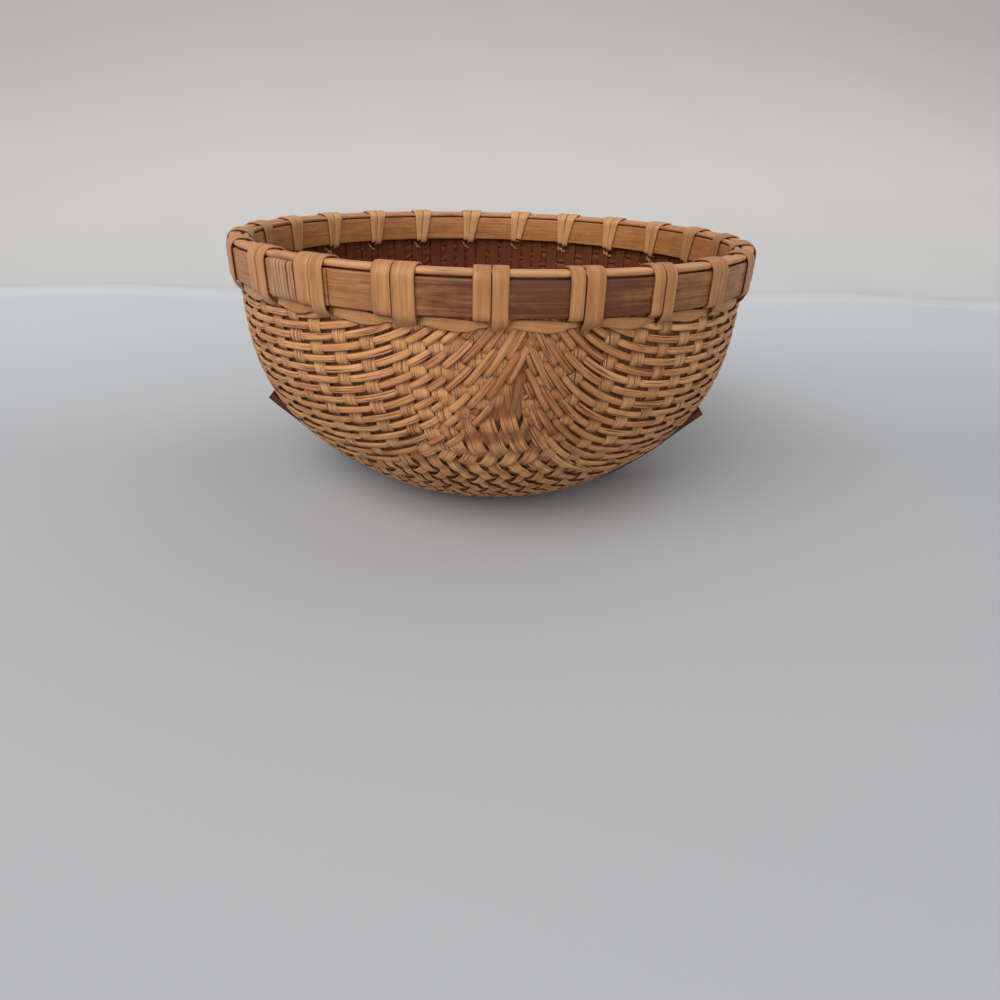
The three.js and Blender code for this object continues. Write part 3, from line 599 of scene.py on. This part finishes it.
# One strip of the lashing: at each station the left lap over the rim, the right one beside it and the
# leaf that hangs under the hoop to the next station. It is narrow where it is out of sight
def lashingSections(first, count):
    sections, narrow = [], lashing["hiddenHalf"]
    for n in range(count):
        station = first + n
        leftStart, leftEnd, rightStart, rightEnd = pairs[station % lashing["stations"]]
        left, right = (leftStart + leftEnd) / 2, (rightStart + rightEnd) / 2
        leftHalf, rightHalf = (leftEnd - leftStart) / 2, (rightEnd - rightStart) / 2

        def put(along, radius, height, halfWidth):
            sections.append(lapSection(station, along, radius, height, halfWidth))

        def inside(share, middle, halfHere, sign):
            return middle * share + sign * narrow * (1 - share), halfHere * share + narrow * (1 - share)

        if n > 0:
            put(rightStart - 4.0, leafRadius, hoopBottom - 2.3, (0, 0, 0.95))
            put(rightStart - 1.0, leafRadius - 0.5, hoopBottom - 2.3, (0, -0.3, 0.85))
            put(rightStart + 0.4, leafRadius - 1.3, hoopBottom - 2.25, (0.3, -0.7, 0.3))
            put(rightStart + 1.0, bowl["wallRadius"] - 1.6, hoopBottom - 2.2, (0.9, -0.7, 0))
            put(rightStart + 0.4, bowl["wallRadius"] - 2.8, hoopBottom - 2.1, (1.4, 0, 0))
            put(-0.6, rim["innerOutside"] - 0.7, hoopBottom - 2.0, (narrow, 0, 0))
            put(-1.3, lapInside + 0.4, hoopBottom - 1.4, (narrow, 0, 0))
        for share, (radius, height) in zip(lapShares, overRim):
            along, halfWidth = inside(share, left, leftHalf, -1)
            put(along, radius, height, (halfWidth, 0, 0))
        put(left, lapOutside - 0.25, lapUnder + 0.35, (leftHalf, 0, 0))
        put(left, lapOutside - 1.2, lapUnder, (leftHalf, 0, 0))
        put(left + 0.6, rim["radius"] - rim["outerThick"] + 0.3, lapUnder, (leftHalf * 0.9, 0, 0))
        put(1.0, rim["innerOutside"] - 1.0, lapUnder, (1.8, 0, 0))
        put(1.5, lapInside + 0.2, lapUnder + 0.1, (narrow, 0, 0))
        for share, (radius, height) in zip(lapShares, overRim):
            along, halfWidth = inside(share, right, rightHalf, 1)
            put(along, radius, height, (halfWidth, 0, 0))
        put(right, lapOutside - 0.15, hoopBottom - 0.6, (rightHalf, 0, 0.2))
        put(right - 0.1, lapOutside - 0.9, hoopBottom - 2.0, (rightHalf * 0.97, 0, 0.35))
        put(right - 0.3, lapOutside - 2.3, hoopBottom - 3.4, (rightHalf * 0.9, 0, 0.6))
        put(right - 0.2, bowl["wallRadius"] - 1.6, hoopBottom - 4.6, (rightHalf * 0.75, 0, 0.7))
        put(right + 0.5, bowl["wallRadius"] - 3.0, hoopBottom - 4.6, (rightHalf * 0.5, 0, 1.0))
        put(right + 1.6, bowl["wallRadius"] - 2.6, hoopBottom - 3.0, (rightHalf * 0.3, 0, 1.2))
        put(rightEnd + 0.3, leafRadius - 0.9, hoopBottom - 2.2, (0.3, 0, 1.25))
        spot = rightEnd + 2.6
        last = stationPitch * rim["radius"] + pairs[(station + 1) % lashing["stations"]][2] - 4.0
        for share, halfLeaf, drop in ((0, 1.45, 1.95), (0.3, 1.9, 2.3), (0.6, lashing["hang"] / 2, 2.75),
                                      (0.85, 1.6, 2.7)):
            put(spot + share * (last - spot), leafRadius + 0.1, hoopBottom - drop, (0, 0, halfLeaf))
        if n == count - 1:
            put(last, leafRadius, hoopBottom - 2.3, (0, 0, 0.95))
            put(last + 3.4, leafRadius - 0.5, hoopBottom - 2.3, (0, 0, 0.6))
    return sections


print("stage: rim", flush=True)
laps = []
first = lashing["start"]
for k, count in enumerate(lashing["perStrip"]):
    strip = ringStrip(lashingSections(first, count), lashing["thick"], 200 + k, 0.0)
    # Painted light: paler towards the back and the left, where more light falls on the laps
    back, left = (np.clip(reach / 80, 0, 1) for reach in (strip["centre"][:, 1], -strip["centre"][:, 0]))
    strip["tone"] = 1.6 * back + 0.5 * left - 0.6
    laps.append(stripPiece(f"rim_lashing_{k + 1}", [strip], strapBamboo, "strap"))
    first += count

# Winding over the joint of the outer hoop, tucked under the splint
winding = {"station": -3, "turns": 9, "start": 6.8, "span": 14.6, "thick": 0.6, "cover": 0.42,
           "pitches": (1.2, 2.3)}
wound = []
hoopMiddle = rim["radius"] - rim["outerThick"] / 2
around = [(hoopMiddle - 1.45, hoopTop - 1), (hoopMiddle - 1.2, hoopTop + 0.3), (hoopMiddle, hoopTop + 0.45),
          (hoopMiddle + 1.25, hoopTop + 0.25), (hoopMiddle + 1.5, hoopTop - 1.0), (hoopMiddle + 1.55, 97.5),
          (hoopMiddle + 1.5, hoopBottom + 0.8), (hoopMiddle + 1.2, hoopBottom - 0.3), (hoopMiddle, hoopBottom - 0.4),
          (hoopMiddle - 1.3, hoopBottom - 0.2)]
turns = np.arange(winding["turns"] + 1)
pitches = rng.uniform(*winding["pitches"], len(turns))
starts = np.concatenate([[0], np.cumsum(pitches)])
starts = winding["start"] + starts[:-1] / starts[-2] * winding["span"]
for i in range(winding["turns"] * len(around)):
    radius, height = around[i % len(around)]
    along = np.interp(i / len(around), turns, starts)
    halfWidth = winding["cover"] * np.interp(i / len(around), turns, pitches)
    wound.append(lapSection(winding["station"], along, radius, height, (halfWidth, 0, 0)))
windingPiece = stripPiece("joint_wrap", [ringStrip(wound, winding["thick"], 210, 0.1, 0.7)], wrapBamboo, "winding")


# A flat hoop bent to a circle, its thinned ends overlapping
def hoopStrip(inside, thick, scarfAzimuth, number, tone):
    tip = rim["scarfTip"]
    seam = thick - gap - 2 * tip
    turn = np.linspace(0, 360 + rim["scarf"], 420)
    start = np.clip(turn / rim["scarf"], 0, 1)
    end = np.clip((turn - 360) / rim["scarf"], 0, 1)
    low = np.where(turn > 360, inside + tip + seam * end + gap, inside)
    high = np.where(turn < rim["scarf"], inside + tip + seam * start, inside + thick)
    azimuth = np.radians(scarfAzimuth - rim["scarf"] / 2 + turn)
    radius = (low + high) / 2
    out = np.stack([np.sin(azimuth), -np.cos(azimuth), np.zeros(len(turn))], 1)
    centre = out * radius[:, None]
    centre[:, 2] = (hoopTop + hoopBottom) / 2
    up = np.tile([0.0, 0.0, 1.0], (len(turn), 1))
    return {"centre": centre, "across": up, "outward": out, "width": np.full(len(turn), hoopTop - hoopBottom),
            "thick": high - low, "along": azimuth * radius, "number": number,
            "tone": np.interp(np.degrees(azimuth) % 360, *tone, period=360)}


splint = {"outerInset": 5.4, "outerWidth": 4.8, "innerWidth": 2.3, "rise": 2.3, "innerDrop": 0.6,
          "buttGap": 1.2, "outerButt": 95.0, "innerButt": -130.0}


# A half round strip on top of a hoop, its ends butted
def splintStrip(inside, width, rise, butt, number, tone):
    buttAngle, count = splint["buttGap"] / rim["radius"], 360
    azimuth = math.radians(butt) + buttAngle / 2 + np.linspace(0, 2 * math.pi - buttAngle, count)
    out = np.stack([np.sin(azimuth), -np.cos(azimuth), np.zeros(count)], 1)
    centre = out * (inside + width / 2)
    centre[:, 2] = hoopTop + gap + rise / 2
    up = np.tile([0.0, 0.0, 1.0], (count, 1))
    return {"centre": centre, "across": out, "outward": up, "width": np.full(count, width),
            "thick": np.full(count, rise), "along": azimuth * inside, "number": number, "tone": tone}


# The scarf is between the stations -3 and -2, and the hoop's tones go by degrees from the front
joint = lashing["first"] - 2.5 * math.degrees(stationPitch) - 1.5
hoopTones = ([-53, -24, -16, -6, 5, 15, 22, 28, 36, 50, 62, 120, 240],
             [0.9, 0.9, 0.0, -0.5, -1.1, -1.2, -1.1, -0.8, -0.2, 0.2, 0.5, 0.2, 0.3])
evenTone = ([0, 180], [0.0, 0.0])
outerStrip = hoopStrip(rim["radius"] - rim["outerThick"], rim["outerThick"], joint, 220, hoopTones)
innerStrip = hoopStrip(innerInside, rim["innerThick"], joint + 180, 221, evenTone)
outerCover = splintStrip(rim["radius"] - splint["outerInset"], splint["outerWidth"], splint["rise"],
                         splint["outerButt"], 222, 0.3)
innerCover = splintStrip(innerInside, splint["innerWidth"], splint["rise"] - splint["innerDrop"],
                         splint["innerButt"], 223, 0.0)
outerHoop = stripPiece("rim_outer_hoop", [outerStrip], outerBamboo, "hoop")
innerHoop = stripPiece("rim_inner_hoop", [innerStrip], innerBamboo, "hoop")
outerSplint = stripPiece("rim_outer_splint", [outerCover], splintBamboo, "splint")
innerSplint = stripPiece("rim_inner_splint", [innerCover], splintBamboo, "splint")


slat = {"width": 14.0, "thick": 3.0, "spacing": 44.0, "left": 39.5, "right": 37.5, "rest": 30.0, "ease": 20.0,
        "flareStart": 82.0, "flare": 0.018, "longest": 105.0}


# One arm of a slat: flat on the floor from the middle, then up along the wall to its end
def slatArm(sideways, endHeight):
    across = np.arange(0, slat["longest"], 0.5)
    radius = np.hypot(across, sideways)
    depth = np.interp(radius, profile["radius"][::-1], profile["depth"][::-1])
    point, normal = onBowl(np.arctan2(across, -sideways), depth)
    standOff = slat["flare"] * np.clip(across - slat["flareStart"], 0, None) ** 2
    onWall = point + normal * (gap + slat["thick"] / 2 + standOff)[:, None]
    onFloor = np.stack([across, np.full(len(across), sideways), np.full(len(across), slat["thick"] / 2)], 1)
    rise = np.clip((across - slat["rest"]) / slat["ease"], 0, 1)
    rise = (rise * rise * (3 - 2 * rise))[:, None]
    keep = point[:, 2] < endHeight
    return (onFloor * (1 - rise) + onWall * rise)[keep], (np.array([0, 0, -1.0]) * (1 - rise) + normal * rise)[keep]


def slatStrip(sideways, number, tone):
    centre, normal = slatArm(sideways, slat["right"])
    leftCentre, leftNormal = slatArm(sideways, slat["left"])
    mirror = np.array([-1, 1, 1])
    centre = np.concatenate([leftCentre[:0:-1] * mirror, centre])
    normal = np.concatenate([leftNormal[:0:-1] * mirror, normal])
    along = directionAlong(centre)
    outward = squareTo(along, normal)
    return {"centre": centre, "across": np.cross(outward, along), "outward": outward,
            "width": np.full(len(centre), slat["width"]), "thick": np.full(len(centre), slat["thick"]),
            "along": arcLength(centre), "number": number, "tone": tone}


frontSlat = stripPiece("base_front_slat", [slatStrip(-slat["spacing"] / 2, 230, 0.0)], slatBamboo, "slat")
backSlat = stripPiece("base_back_slat", [slatStrip(slat["spacing"] / 2, 231, 0.0)], slatBamboo, "slat")

print("stage: frame", flush=True)
rightStakes = [f"rising_right_{i:02d}" for i in range(1, 20)]
leftStakes = [f"rising_left_{i:02d}" for i in range(1, 20)]
plan = [(pieces["stakes_rising_right"], rightStakes, "stake"),
        (pieces["stakes_rising_left"], leftStakes, "stake"),
        (pieces["weavers_left"], ["woven_mat"], "weave"),
        (pieces["weavers_right"], ["woven_mat"], "weave"),
        (laps[0], ["lashing_1"], "strap"),
        (laps[1], ["lashing_2"], "strap"),
        (laps[2], ["lashing_3"], "strap"),
        (windingPiece, ["joint_winding"], "weave"),
        (outerHoop, ["outer_hoop"], "outer_hoop"),
        (innerHoop, ["inner_hoop"], "inner_hoop"),
        (outerSplint, ["outer_splint"], "strap"),
        (innerSplint, ["inner_splint"], "strap"),
        (frontSlat, ["front_slat"], "slat"),
        (backSlat, ["back_slat"], "slat")]
for piece, nodes, slotName in plan:
    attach(piece, "root")
    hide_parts(*nodes)


# Grey floor cloth in metres, painted paler towards a low fold behind the basket as painted light, and the pale
# backdrop beyond it
def clothFloor():
    x = np.linspace(-1.6, 1.6, 160)
    y = np.concatenate([np.linspace(-0.6, 1.0, 120), 1.0 + np.linspace(0.02, 1.4, 60)])
    xs, ys = np.meshgrid(x, y)
    foldAt = np.interp(xs, [-0.51, 0.0, 0.58], [0.375, 0.422, 0.476])
    height = 0.35 * np.clip(ys - foldAt - 0.02, 0, None) ** 1.5
    away = np.clip((np.hypot(xs, ys) - 0.2) / 0.3, 0, 1)
    fold = 0.003 * np.sin(xs * 9 + 2.1 * np.sin(ys * 4)) * np.sin(ys * 7 + 1.3) + 0.0015 * np.sin(xs * 23 + ys * 11)
    height = height + fold * away + 0.006 * np.exp(-((ys - foldAt) / 0.012) ** 2) - 0.0005
    points = np.stack([xs, ys, height], -1).reshape(-1, 3)
    rows, cols = len(y), len(x)
    faces = [(r * cols + c, r * cols + c + 1, (r + 1) * cols + c + 1, (r + 1) * cols + c)
             for r in range(rows - 1) for c in range(cols - 1)]
    mesh = bpy.data.meshes.new("floor_cloth")
    mesh.from_pydata(points.tolist(), [], faces)
    mesh.polygons.foreach_set("use_smooth", [True] * len(faces))
    # Cotton has no gloss; its grey is painted paler with distance back, as painted light
    material, tree, shader = newMaterial("grey cotton cloth", 0.85, 0.2)
    split = addNode(tree, "ShaderNodeSeparateXYZ", i0=addNode(tree, "ShaderNodeTexCoord").outputs["Object"])
    # The tone goes by the distance back, a little askew like the fold; the ramp dips a little at the fold as painted
    # shade
    back = addNode(tree, "ShaderNodeMath", {"operation": "MULTIPLY_ADD"}, i0=split.outputs[0], i1=-0.09,
                   i2=split.outputs[1])
    ramp = addNode(tree, "ShaderNodeValToRGB", i0=back)
    stops = [(0.0, "#aeb0b3"), (0.08, "#babcbf"), (0.28, "#cccfd3"), (0.40, "#d4d6da"), (0.425, "#d1d3d7"),
             (0.45, "#d3d4d5"), (0.6, "#d9d9d9"), (0.9, "#e3e1e0")]
    for position, colour in stops[1:-1]:
        ramp.color_ramp.elements.new(position)
    for element, (position, colour) in zip(ramp.color_ramp.elements, stops):
        element.position = position
        element.color = linear(colour)
    tree.links.new(ramp.outputs[0], shader.inputs["Base Color"])
    mesh.materials.append(material)
    cloth = addObject("floor_cloth", mesh)


clothFloor()


# Place in metres and angles in radians, as fitted to the photograph; pitch is downwards
cameraFit = {"place": (0.005937, -0.312464, 0.136213), "yaw": -0.0014, "pitch": 0.48273, "roll": 0.02917,
             "lens": 23.752}


def addCamera():
    data = bpy.data.cameras.new("Camera")
    data.sensor_width = 36.0
    data.lens = cameraFit["lens"]
    data.clip_start = 0.01
    camera = addObject("Camera", data)
    yaw, pitch, roll = cameraFit["yaw"], cameraFit["pitch"], cameraFit["roll"]
    right = Vector((math.cos(yaw), math.sin(yaw), 0))
    ahead = Vector((-math.sin(yaw), math.cos(yaw), 0))
    forward = ahead * math.cos(pitch) - Vector((0, 0, math.sin(pitch)))
    up = ahead * math.sin(pitch) + Vector((0, 0, math.cos(pitch)))
    turnedRight = right * math.cos(roll) + up * math.sin(roll)
    turnedUp = up * math.cos(roll) - right * math.sin(roll)
    turn = Matrix((turnedRight, turnedUp, -forward)).transposed().to_4x4()
    camera.matrix_world = Matrix.Translation(Vector(cameraFit["place"])) @ turn
    bpy.context.scene.camera = camera


addCamera()


def addLight(name, place, aim, size, power, colour):
    data = bpy.data.lights.new(name, "AREA")
    data.shape = "RECTANGLE"
    data.size, data.size_y = size
    data.energy = power
    data.color = colour
    light = addObject(name, data)
    light.location = place
    light.rotation_euler = (Vector(aim) - Vector(place)).to_track_quat("-Z", "Y").to_euler()


addLight("window light", (-0.55, -0.85, 1.0), (0, 0.05, 0.05), (1.3, 1.0), 15.5, (1.0, 0.985, 0.965))
addLight("front fill", (0.55, -1.15, 0.4), (0, 0, 0.05), (1.4, 0.7), 3.6, (1.0, 0.99, 0.97))
addLight("room light", (0.8, 0.5, 1.2), (0, 0, 0.05), (1.2, 1.2), 3, (0.97, 0.98, 1.0))
world = bpy.data.worlds.new("Room")
bpy.context.scene.world = world
world.use_nodes = True
background = world.node_tree.nodes["Background"]
background.inputs["Color"].default_value = linear("#f4f3f1")
background.inputs["Strength"].default_value = 0.5

bpy.context.scene.view_settings.view_transform = "Standard"
